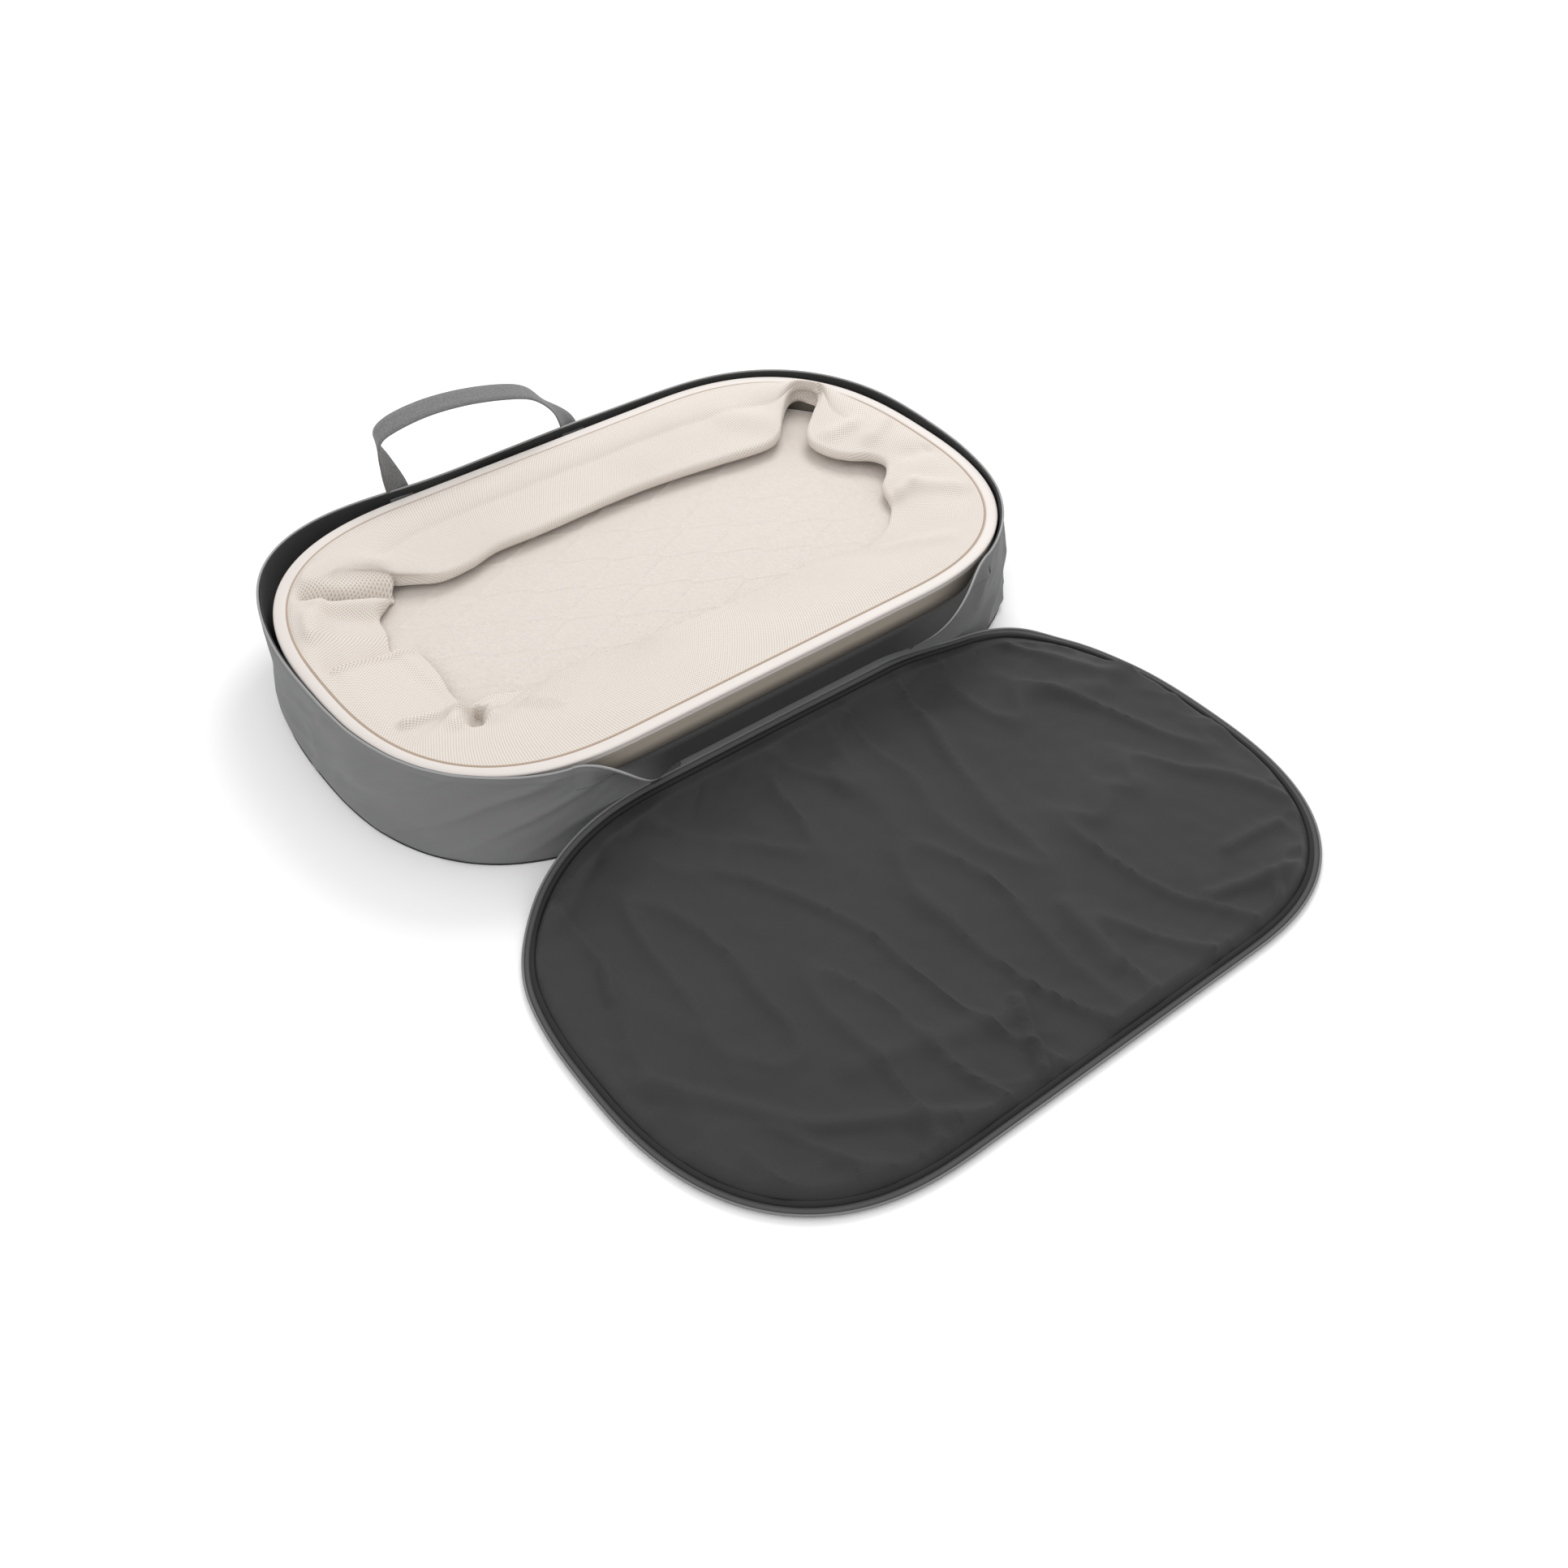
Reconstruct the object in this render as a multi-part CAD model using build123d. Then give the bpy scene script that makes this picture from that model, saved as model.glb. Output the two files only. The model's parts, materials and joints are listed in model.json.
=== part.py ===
"""Oval zip-round carry bag, open, with a folded portable bassinet lying in it.

Millimetres. The origin is on the ground under the middle of the bag: +X runs along the bag,
+Y points to the wall with the handle, -Y to the opened lid, +Z is up.
"""

from build123d import *
import math
import os

os.makedirs("parts", exist_ok=True)

# ---- bassinet rim, the shape that everything else is an offset of
rim_length = 860.0
rim_width = 535.0
rim_straight = 366.0          # straight run of each long side
rim_squareness = 2.56         # exponent of the two rounded ends
rim_top = 114.4               # height of the rim's upper face
rim_face = 12.0               # width of the flat rim ring

# ---- carry bag
wall_clear = 6.0              # rim to the lining of the wall
lining_thick = 1.0
fabric_thick = 1.0
wall_top = 118.0
flare = 6.0                   # how far the wall's foot stands out beyond its upper part
flare_top = 55.0              # the wall is upright above this height
floor_fabric_thick = 1.5
stiffener_thick = 2.5
floor_lining_thick = 1.0
stiffener_gap = 8.0           # stiffener's edge to the wall's upright part
foot_seam_gap = 0.3
piping_size = 2.5
tape_width = 14.0
tape_thick = 0.8
coil_height = 2.2
coil_width = 2.4

# ---- folded front edge that carries the lid
fold_height = 89.0            # crease of the fold
strip_drop = 33.0             # crease to the lid's seam
strip_left, strip_right = -178.0, 168.0
crease_gap = 1.0              # crease to each piece beside it
crease_clear = 0.5            # wall's outside to the crease line
notch_left, notch_right = -193.0, 179.0
seam_gap = 1.5                # lid's seam line to the lid's edge
strip_seam_gap = 1.0          # lid's seam line to the strip's edge

# ---- lid
lid_inset = 0.5               # wall's lining to the lid's edge when closed
lid_coil_width = 2.0
lid_tape_width = 7.5
lid_outer_thick = 1.0
lid_pad_thick = 4.0
lid_lining_thick = 1.0
seam_over_lining = 1.0        # lid's seam line to its lining, when closed
lid_tape_thick = 1.6
lid_tape_rise = 0.2           # lining's face to the tape's face
lid_piping_width = 3.0
lid_piping_deep = 1.8
slope_angle = 51.0            # how steeply the opened lid runs down to the ground
bend_gap = 0.3                # bend line to each panel's edge
piping_bend_gap = 1.2

# ---- zip ends
slider_size = (11.0, 4.8, 8.0)
slider_side_gap = 2.0
slider_wall_gap = 0.5
pull_size = (26.0, 1.6, 6.5)
pull_gap = 0.7                # strip's lining to the pull
pull_reach = 1.0              # slider's end to the pull's pivot line
stop_size = (6.0, 4.0, 6.0)
stop_side_gap = 1.5
relief_margin = 1.5           # gap in the lid's zip beside the slider and the stop

# ---- handle
handle_left, handle_right = -179.0, 68.0
webbing_width = 32.0
webbing_thick = 2.0
patch_height = 26.0
patch_top = 110.0
patch_thick = 2.5
handle_clear = 2.2            # patch to the webbing
handle_pivot_height = 111.0
tab_start = 1.0               # pivot line to the webbing's lower end
tab_height = 40.0             # the webbing lies flat up to here, then twists
loop_taper = 14.0             # angle at which the loop widens from its feet
loop_depth = 26.0             # loop's depth across the bag's width
loop_height = 217.0
loop_bend = 26.0              # least bend radius of the loop
loop_left_reach, loop_right_reach = 12.0, 20.0

# ---- basket
shell_inset = 1.0             # rim's edge to the shell's outside
shell_thick = 3.0
shell_bottom = 30.0
shell_top = 106.0
ridge_height = 3.0
ridge_proud = 0.8
foot_radius = 26.0
foot_reach = (250.0, 130.0)   # feet from the middle
foot_clear = 0.3
parting_gap = 0.8             # shell to rim ring
rim_floor_thick = 2.0
rim_skirt_thick = 1.5
rim_trim_thick = 2.0
tube_inset = 3.0
tube_width = 6.0
tube_gap = 10.0               # the two tube halves stop short of each other
tube_sleeve_length = 40.0
tube_sleeve_gap = 0.3
cord_width = 1.8
cord_height = 2.0
mesh_gap = 0.4
mesh_top = 108.0
mesh_left, mesh_right = -292.0, 322.0
mesh_near, mesh_far = -96.0, 140.0
mesh_corner = 58.0
mattress_inset = 20.0
mattress_bottom = 33.0
board_thick = 3.0
mattress_top = 80.0
cover_thick = 1.5

half_length, half_width = rim_length / 2, rim_width / 2
half_straight = rim_straight / 2
end_reach = half_length - half_straight
end_points = 11


def outline(offset):
    """The rim's outline moved outward by offset, as a closed wire at z 0."""
    right, headings = [], []
    for i in range(end_points):
        angle = math.pi / 2 - math.pi * i / (end_points - 1)
        cosine, sine = max(math.cos(angle), 0.0), math.sin(angle)
        x = cosine ** (2 / rim_squareness)
        y = math.copysign(abs(sine) ** (2 / rim_squareness), sine)
        across = x ** (rim_squareness - 1) / end_reach
        along = math.copysign(abs(y) ** (rim_squareness - 1), y) / half_width
        norm = math.hypot(across, along)
        right.append((half_straight + end_reach * x + offset * across / norm,
                      half_width * y + offset * along / norm))
        headings.append((along / norm, -across / norm))
    left = [(-x, -y) for x, y in right]
    return Wire([
        Spline(*right, tangents=headings),
        Line(right[-1], left[0]),
        Spline(*left, tangents=[(-x, -y) for x, y in headings]),
        Line(left[-1], right[0]),
    ])


def plate(offset, low, high):
    return Pos(0, 0, low) * extrude(Face(outline(offset)), high - low, dir=(0, 0, 1))


def ring(outer, inner, low, high):
    return Pos(0, 0, low) * extrude(Face(outline(outer), [outline(inner)]), high - low, dir=(0, 0, 1))


def flared_ring(outer, inner):
    """Wall that stands out at its foot and is upright above flare_top."""
    def body(offset):
        return Solid.make_loft([outline(offset + flare), Pos(0, 0, flare_top) * outline(offset)], True)
    return (body(outer) - body(inner)) + ring(outer, inner, flare_top, wall_top)


def block(x_range, y_range, z_range):
    size = [b - a for a, b in (x_range, y_range, z_range)]
    middle = [(a + b) / 2 for a, b in (x_range, y_range, z_range)]
    return Pos(*middle) * Box(*size)


def write(node, shape):
    shape.label = node
    export_step(shape, f"parts/{node}.step")


far = 2 * rim_length          # longer than anything here, for cutting blocks

# ---- bag: floor
lining_in = wall_clear
fabric_in = lining_in + lining_thick
fabric_out = fabric_in + fabric_thick
floor_edge = lining_in + flare - foot_seam_gap
stiffener_low = floor_fabric_thick
lining_low = stiffener_low + stiffener_thick
floor_top = lining_low + floor_lining_thick
write("floor_panel", plate(floor_edge - foot_seam_gap, 0, floor_fabric_thick))
write("floor_stiffener", plate(lining_in - stiffener_gap, stiffener_low, lining_low))
write("floor_lining", plate(lining_in - stiffener_gap, lining_low, floor_top))

# ---- bag: wall, with the notch that the folded strip stands in when the bag is shut
front_outside = -(half_width + fabric_out)
notch = block((notch_left, notch_right), (front_outside - flare, -half_width / 2),
              (fold_height - crease_gap, far))
write("wall_fabric", flared_ring(fabric_out, fabric_in) - notch)
write("wall_lining", flared_ring(fabric_in, lining_in) - notch)
write("bottom_piping", ring(fabric_out + flare + piping_size, fabric_out + flare, 0, piping_size))
write("wall_zip_tape", ring(fabric_out + tape_thick, fabric_out, wall_top - tape_width, wall_top) - notch)
write("wall_zip_coil", ring(lining_in + coil_width, lining_in + foot_seam_gap, wall_top,
                            wall_top + coil_height) - notch)

# ---- folded strip: built standing up, as it is when the bag is shut
crease_y = front_outside - crease_clear
seam_height = fold_height + strip_drop
strip_top = seam_height - strip_seam_gap
strip_x = (strip_left, strip_right)
strip_z = (fold_height + crease_gap, strip_top)


def opened(shape):
    """Turns a piece of the strip from shut to folded down outside."""
    return Pos(0, crease_y, fold_height) * Rot(X=180) * Pos(0, -crease_y, -fold_height) * shape


fabric_y = (front_outside, front_outside + fabric_thick)
lining_y = (fabric_y[1], fabric_y[1] + lining_thick)
write("strip_fabric", opened(block(strip_x, fabric_y, strip_z)))
write("strip_lining", opened(block(strip_x, lining_y, strip_z)))

# ---- lid: built shut, over the wall's zip, then turned at the seam and laid on the ground
lid_edge = lining_in - lid_inset
lid_under = seam_height - seam_over_lining
tape_edge = lid_edge - lid_coil_width
panel_edge = tape_edge - lid_tape_width
pad_low = lid_under + lid_lining_thick
pad_high = pad_low + lid_pad_thick
lid_over = pad_high + lid_outer_thick
tape_low = lid_under + lid_tape_rise
tape_high = tape_low + lid_tape_thick
lid_thick = lid_over - lid_under
seam_shut = (-(half_width + lid_edge) - seam_gap, seam_height)
seam_open = (2 * crease_y - seam_shut[0], 2 * fold_height - seam_shut[1])
slope = math.radians(slope_angle)
slope_length = (seam_open[1] + seam_over_lining * math.cos(slope) - lid_thick) / math.sin(slope)
bend_open = (seam_open[0] - slope_length * math.cos(slope) - seam_over_lining * math.sin(slope), lid_thick)
bend_shut_y = seam_shut[0] + slope_length


def sloped(shape):
    """Turns a piece of the lid beside the seam from shut to the slope."""
    return (Pos(0, *seam_open) * Rot(X=180 + slope_angle) * Pos(0, -seam_shut[0], -seam_shut[1])) * shape


def laid(shape):
    """Turns a piece of the lid beyond the bend from shut to flat on the ground."""
    return (Pos(0, *bend_open) * Rot(X=180) * Pos(0, -bend_shut_y, -lid_under)) * shape


def near_part(shape, gap=bend_gap):
    return shape & block((-far, far), (-far, bend_shut_y - gap), (0, far))


def far_part(shape, gap=bend_gap):
    return shape & block((-far, far), (bend_shut_y + gap, far), (0, far))


slider_x = (strip_left - slider_side_gap - slider_size[0], strip_left - slider_side_gap)
stop_x = (strip_right + stop_side_gap, strip_right + stop_side_gap + stop_size[0])
relief_y = (seam_shut[0] - far, -(half_width + panel_edge))
zip_free = block((slider_x[0] - relief_margin, stop_x[1] + relief_margin), relief_y, (0, far))
hinge_reach = block(strip_x, (seam_shut[0], -(half_width + panel_edge)), (0, far))

lid_layers = {
    "lining": plate(panel_edge, lid_under, pad_low),
    "padding": plate(panel_edge, pad_low, pad_high),
    "outer_panel": plate(panel_edge, pad_high, lid_over),
    "zip_tape": ring(tape_edge, panel_edge, tape_low, tape_high) - zip_free,
    "zip_coil": ring(lid_edge, tape_edge, tape_low, tape_high) - zip_free,
}
for name, layer in lid_layers.items():
    write(f"apron_{name}", sloped(near_part(layer)))
    write(f"lid_{name}", laid(far_part(layer)))
piping = ring(panel_edge, panel_edge - lid_piping_width, lid_under - lid_piping_deep, lid_under)
write("apron_piping", sloped(near_part(piping, piping_bend_gap)))
write("lid_piping", laid(far_part(piping, piping_bend_gap)))
hinge_tape = ring(lid_edge, panel_edge, tape_low, tape_high) & hinge_reach
write("hinge_tape", sloped(hinge_tape))

# ---- zip ends, which ride on the folded strip beside its two ends
slider_y = (front_outside - slider_wall_gap - slider_size[1], front_outside - slider_wall_gap)
slider_z = (seam_open[1] - slider_size[2] / 2, seam_open[1] + slider_size[2] / 2)
slider = block(slider_x, slider_y, slider_z)
write("zip_slider", fillet(slider.edges().filter_by(Axis.Y), slider_size[2] / 4))
stop_y = (slider_y[1] - stop_size[1], slider_y[1])
stop_z = (seam_open[1] - stop_size[2] / 2, seam_open[1] + stop_size[2] / 2)
write("zip_stop", block(stop_x, stop_y, stop_z))
lining_face = 2 * crease_y - lining_y[1]
pull_x = (slider_x[1] + pull_reach, slider_x[1] + pull_reach + pull_size[0])
pull_y = (lining_face - pull_gap - pull_size[1], lining_face - pull_gap)
pull_z = (seam_open[1] + pull_gap + lid_tape_thick / 2, seam_open[1] + pull_gap + lid_tape_thick / 2 + pull_size[2])
pull = fillet(block(pull_x, pull_y, pull_z).edges().filter_by(Axis.Y), pull_size[2] / 2.5)
write("zip_pull", pull)
pull_pivot = (pull_x[0] + pull_size[2] / 2, sum(pull_y) / 2, sum(pull_z) / 2)

# ---- handle: two sewn patches on the back wall, and the loop of webbing that stands up from them
back_outside = half_width + fabric_out
patch_y = (back_outside + tape_thick, back_outside + tape_thick + patch_thick)
patches = [
    block((x - webbing_width / 2, x + webbing_width / 2), patch_y, (patch_top - patch_height, patch_top))
    for x in (handle_left, handle_right)
]
write("handle_patches", Compound(patches))
pivot_y = patch_y[1] + handle_clear
tab_low = handle_pivot_height + tab_start
loop_path = FilletPolyline(
    (handle_left, tab_low),
    (handle_left - loop_left_reach, loop_height - 2 * loop_bend),
    (handle_left + loop_bend, loop_height),
    (handle_left + 4 * loop_bend, loop_height),
    (handle_right - 2 * loop_bend, loop_height - 1.3 * loop_bend),
    (handle_right - loop_right_reach, tab_low + 1.4 * loop_bend),
    (handle_right, tab_low),
    radius=loop_bend,
)
band = make_face(offset(loop_path, webbing_thick, side=Side.LEFT).edges())
loop = Pos(0, pivot_y + loop_depth, 0) * Rot(X=90) * extrude(band, loop_depth)
widening = (loop_height - tab_low) * math.tan(math.radians(loop_taper))
wedge = make_face(Polyline(
    (pivot_y, tab_low),
    (pivot_y + webbing_thick, tab_low),
    (pivot_y + webbing_thick + widening, loop_height),
    (pivot_y, loop_height),
    close=True,
))
loop = loop & extrude(Plane.YZ * wedge, far, both=True)
tabs = [
    block((x - webbing_width / 2, x + webbing_width / 2), (pivot_y, pivot_y + webbing_thick),
          (tab_low, tab_low + tab_height))
    for x in (handle_left, handle_right)
]
write("handle_webbing", loop + tabs)

# ---- basket: shell, feet and mattress
shell_out = -shell_inset
shell_in = shell_out - shell_thick
shell = plate(shell_out, shell_bottom, shell_top) - plate(shell_in, shell_bottom + shell_thick, far)
ridge = ring(shell_out + ridge_proud, shell_out, shell_top - ridge_height, shell_top)
write("base_shell", shell + ridge)
foot_low = floor_top + foot_clear
feet = [
    Pos(x * foot_reach[0], y * foot_reach[1], (foot_low + shell_bottom) / 2)
    * Cylinder(foot_radius, shell_bottom - foot_low)
    for x in (-1, 1) for y in (-1, 1)
]
write("base_feet", Compound(feet))
board_top = mattress_bottom + board_thick
write("mattress_board", plate(-mattress_inset, mattress_bottom, board_top))
core_edge = -mattress_inset - cover_thick
core_top = mattress_top - cover_thick
write("mattress_core", plate(core_edge, board_top, core_top))
write("mattress_cover", plate(-mattress_inset, board_top, mattress_top) - plate(core_edge, board_top, core_top))

# ---- rim: ring, tube, trim and the mesh wall folded in over the mattress
rim_low = shell_top + parting_gap
skirt_high = rim_top - rim_trim_thick
tube_low = rim_low + rim_floor_thick
rim_in = -rim_face
rim_shell = ring(0, rim_in, rim_low, tube_low) + ring(0, -rim_skirt_thick, tube_low, skirt_high)
write("rim_shell", rim_shell)
write("rim_trim", ring(0, rim_in, skirt_high, rim_top))
tube_out = -tube_inset
tube = ring(tube_out, tube_out - tube_width, tube_low, skirt_high)
gap_cut = block((-tube_gap / 2, tube_gap / 2), (-far, far), (0, far))
write("rim_tube", tube - gap_cut)
sleeve_out = tube_out + tube_sleeve_gap * 3
sleeve_span = block((-tube_sleeve_length / 2, tube_sleeve_length / 2), (-far, far), (0, far))
sleeve = ring(sleeve_out, tube_out, tube_low, skirt_high) & sleeve_span
plug = (tube & gap_cut) + sleeve
write("rim_connectors", plug)
cord_out = rim_in
write("mesh_cord", ring(cord_out, cord_out - cord_width, rim_top - cord_height, rim_top))
mesh_out = cord_out - cord_width - mesh_gap
mesh_low = mattress_top + mesh_gap
well_size = (mesh_right - mesh_left, mesh_far - mesh_near)
well_middle = ((mesh_left + mesh_right) / 2, (mesh_near + mesh_far) / 2)
well = extrude(RectangleRounded(*well_size, mesh_corner), mesh_top)
write("mesh_wall", plate(mesh_out, mesh_low, mesh_top) - Pos(*well_middle, 0) * well)

print("crease", crease_y, fold_height)
print("seam", seam_open, "shut", seam_shut)
print("bend", bend_open, "slope length", slope_length)
print("pull pivot", pull_pivot)
print("handle pivot", pivot_y, handle_pivot_height)
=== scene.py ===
import json
import math
import bmesh
import bpy
import numpy as np
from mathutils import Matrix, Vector, noise


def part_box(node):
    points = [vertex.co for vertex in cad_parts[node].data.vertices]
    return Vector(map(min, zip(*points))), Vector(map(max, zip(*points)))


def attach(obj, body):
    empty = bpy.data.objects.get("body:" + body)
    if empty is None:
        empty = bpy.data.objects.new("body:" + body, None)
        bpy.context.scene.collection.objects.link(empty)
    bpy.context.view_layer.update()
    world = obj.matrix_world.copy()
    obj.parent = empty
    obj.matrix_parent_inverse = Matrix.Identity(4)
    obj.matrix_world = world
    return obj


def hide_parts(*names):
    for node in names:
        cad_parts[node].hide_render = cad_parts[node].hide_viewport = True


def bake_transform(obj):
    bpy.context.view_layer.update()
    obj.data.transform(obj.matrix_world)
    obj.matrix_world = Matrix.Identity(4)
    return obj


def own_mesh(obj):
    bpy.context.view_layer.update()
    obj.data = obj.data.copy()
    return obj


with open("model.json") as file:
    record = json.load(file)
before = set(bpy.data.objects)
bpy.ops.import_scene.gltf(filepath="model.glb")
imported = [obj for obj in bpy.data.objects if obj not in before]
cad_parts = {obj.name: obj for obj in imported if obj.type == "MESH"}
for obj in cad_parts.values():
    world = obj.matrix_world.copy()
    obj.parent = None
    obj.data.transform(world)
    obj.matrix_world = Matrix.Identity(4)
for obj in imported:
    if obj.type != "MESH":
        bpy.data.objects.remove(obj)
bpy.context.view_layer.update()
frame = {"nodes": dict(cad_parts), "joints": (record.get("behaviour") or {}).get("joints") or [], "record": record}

joints = {joint["name"]: joint for joint in frame["joints"]}
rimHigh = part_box("rim_trim")[1]
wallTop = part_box("wall_fabric")[1][2]
padLow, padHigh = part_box("mattress_cover")
creaseZ = joints["lid_open"]["pos_m"][2]
seamY, seamZ = joints["lid_seam"]["pos_m"][1:]
bendY, lidTop = joints["lid_bend"]["pos_m"][1:]


# Outline of the bassinet's rim, which every ring here follows.
rim = {"straight": 0.183, "squareness": 2.56}  # half the straight side, and the power that rounds the ends


def rounded(value, power):  # a power that keeps the sign
    return np.sign(value) * abs(value) ** power


def rimTable():  # place, outward direction and share of the way round, for points along the rim
    reach = rimHigh[0] - rim["straight"]
    power = rim["squareness"]
    angle = np.linspace(-math.pi / 2, math.pi / 2, 361)
    cosine, sine = np.cos(angle).clip(0), np.sin(angle)
    x, y = cosine ** (2 / power), rounded(sine, 2 / power)
    outX, outY = x ** (power - 1) / reach, rounded(y, power - 1) / rimHigh[1]
    size = np.hypot(outX, outY)
    end = np.column_stack([rim["straight"] + reach * x, rimHigh[1] * y, outX / size, outY / size])
    table = np.vstack([end, -end, end[:1]])
    run = np.concatenate([[0], np.cumsum(np.hypot(*np.diff(table[:, :2], axis=0).T))])
    return table, run / run[-1], run[-1]


rimPoints, rimRun, rimLength = rimTable()


def around(turn):  # place and outward direction at a share of the way round, from the front right
    return [np.interp(np.mod(turn, 1.0), rimRun, rimPoints[:, k]) for k in range(4)]


def frontTurn(x):  # share of the way round at which the front side has this x
    turn = np.where(rimRun > 0.5, rimRun - 1, rimRun)
    front = rimPoints[:, 1] < 0
    order = np.argsort(turn[front])
    return np.interp(x, rimPoints[front, 0][order], turn[front][order])


def allRound(count):
    return np.linspace(0, 1, count, endpoint=False)


def ringPoints(turn, offset, z):
    x, y, outX, outY = around(turn)
    return np.column_stack([x + offset * outX, y + offset * outY, np.zeros(len(x)) + z])


def smooth(t):
    t = np.clip(t, 0, 1)
    return t * t * (3 - 2 * t)


def lumps(points, scale, seed=0.0):  # soft noise from -1 to 1
    return np.array([noise.noise(Vector(p) / scale + Vector((seed, seed, 0))) for p in points])


def ridges(points, scale, seed=0.0, rounding=0.02):  # creases from 0 to 1
    return (1 - np.hypot(lumps(points, scale, seed), rounding) * 2.2).clip(0) ** 3


def pleats(x, y, folds):  # folds from one place to another; step makes one side of a fold an edge
    lift = np.zeros(len(x))
    for fold in folds:
        (ax, ay), (bx, by) = fold["from"], fold["to"]
        length = math.hypot(bx - ax, by - ay)
        along = ((x - ax) * (bx - ax) + (y - ay) * (by - ay)) / length
        across = ((x - ax) * (ay - by) + (y - ay) * (bx - ax)) / length
        fade = smooth((along + fold["width"]) / fold["width"] / 2)
        fade = fade * smooth((length - along + fold["width"]) / fold["width"] / 2)
        if fold.get("step"):
            shape = smooth(across / fold["step"]) * np.exp(-(np.clip(across, 0, None) / fold["width"]) ** 2)
        else:
            shape = np.exp(-(across / fold["width"]) ** 2)
        lift += fold["height"] * fade * shape
    return lift


# Mesh builders.
def curveBetween(a, b, c, d, t):  # a Catmull-Rom curve from b to c
    square, cube = 2 * a - 5 * b + 4 * c - d, 3 * b - a - 3 * c + d
    return 0.5 * (2 * b + (c - a) * t + square * t ** 2 + cube * t ** 3)


def meshObject(name, points, faces, cloth=None):
    mesh = bpy.data.meshes.new(name)
    mesh.from_pydata([tuple(p) for p in points], [], faces)
    if cloth is not None:  # lengths along and across the cloth in metres, for its weave
        layer = mesh.uv_layers.new(name="cloth")
        for loop in mesh.loops:
            layer.data[loop.index].uv = cloth[loop.vertex_index]
    made = bpy.data.objects.new(name, mesh)
    bpy.context.scene.collection.objects.link(made)
    mesh.polygons.foreach_set("use_smooth", [True] * len(mesh.polygons))
    return made


def grid(name, rows, loop=False, tube=False, cloth=None):
    rows = np.asarray(rows, float)
    count, wide = rows.shape[:2]
    faces = []
    for i in range(count if loop else count - 1):
        for j in range(wide if tube else wide - 1):
            k, l = (i + 1) % count, (j + 1) % wide
            faces.append((i * wide + j, i * wide + l, k * wide + l, k * wide + j))
    if tube and not loop:
        faces += [tuple(range(wide))[::-1], tuple((count - 1) * wide + j for j in range(wide))]
    return meshObject(name, rows.reshape(-1, 3), faces, cloth)


def outward(made):
    work = bmesh.new()
    work.from_mesh(made.data)
    bmesh.ops.remove_doubles(work, verts=work.verts, dist=1e-6)
    bmesh.ops.recalc_face_normals(work, faces=work.faces)
    work.to_mesh(made.data)
    work.free()
    return made


def applied(made):
    graph = bpy.context.evaluated_depsgraph_get()
    mesh = bpy.data.meshes.new_from_object(made.evaluated_get(graph))
    made.modifiers.clear()
    made.data = mesh
    mesh.polygons.foreach_set("use_smooth", [True] * len(mesh.polygons))
    mesh.set_sharp_from_angle(angle=math.radians(55))
    return made


def thicken(made, thickness):
    layer = made.modifiers.new("thickness", "SOLIDIFY")
    layer.thickness, layer.offset = thickness, 0
    return applied(outward(made))


# A round cord along a path; wave is how much larger every other ring is.
def sweep(name, path, radius, sides=8, loop=False, wave=0.0):
    path = np.asarray(path, float)
    ahead = np.roll(path, -1, 0) - np.roll(path, 1, 0)
    if not loop:
        ahead[0], ahead[-1] = path[1] - path[0], path[-1] - path[-2]
    ahead /= np.linalg.norm(ahead, axis=1)[:, None]
    side = np.cross(ahead, [0, 0, 1.0])
    side /= np.linalg.norm(side, axis=1)[:, None]
    up = np.cross(side, ahead)
    size = radius * (1 + wave * (np.arange(len(path)) % 2))
    angle = np.linspace(0, 2 * math.pi, sides, endpoint=False)
    rows = [path + size[:, None] * (math.cos(a) * side + math.sin(a) * up) for a in angle]
    return outward(grid(name, np.transpose(rows, (1, 0, 2)), loop=loop, tube=True))


def evenly(path, pitch, loop=False):  # the path again, with even steps
    path = np.asarray(path, float)
    if loop:
        path = np.vstack([path, path[:1]])
    run = np.concatenate([[0], np.cumsum(np.linalg.norm(np.diff(path, axis=0), axis=1))])
    count = int(run[-1] / pitch / 2) * 2
    at = np.linspace(0, run[-1], count, endpoint=not loop)
    return np.column_stack([np.interp(at, run, path[:, k]) for k in range(3)])


zipCoil = {"radius": 0.00125, "pitch": 0.0009, "wave": 0.28}


def coilAlong(name, path, loop=False):
    steps = evenly(path, zipCoil["pitch"], loop)
    return sweep(name, steps, zipCoil["radius"], 6, loop, zipCoil["wave"])


# Finishes.
class Field:  # a shader value that takes part in Python sums
    def __init__(self, tree, socket):
        self.tree, self.socket = tree, socket

    def maths(self, operation, other=None, turned=False):
        node = self.tree.nodes.new("ShaderNodeMath")
        node.operation = operation
        for slot, value in enumerate((other, self) if turned else (self, other)):
            if isinstance(value, Field):
                self.tree.links.new(value.socket, node.inputs[slot])
            elif value is not None:
                node.inputs[slot].default_value = value
        return Field(self.tree, node.outputs[0])

    def __add__(self, other):
        return self.maths("ADD", other)

    def __mul__(self, other):
        return self.maths("MULTIPLY", other)

    def __sub__(self, other):
        return self.maths("SUBTRACT", other)

    def __rsub__(self, other):
        return self.maths("SUBTRACT", other, True)

    def __truediv__(self, other):
        return self.maths("DIVIDE", other)

    __radd__, __rmul__ = __add__, __mul__


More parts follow.
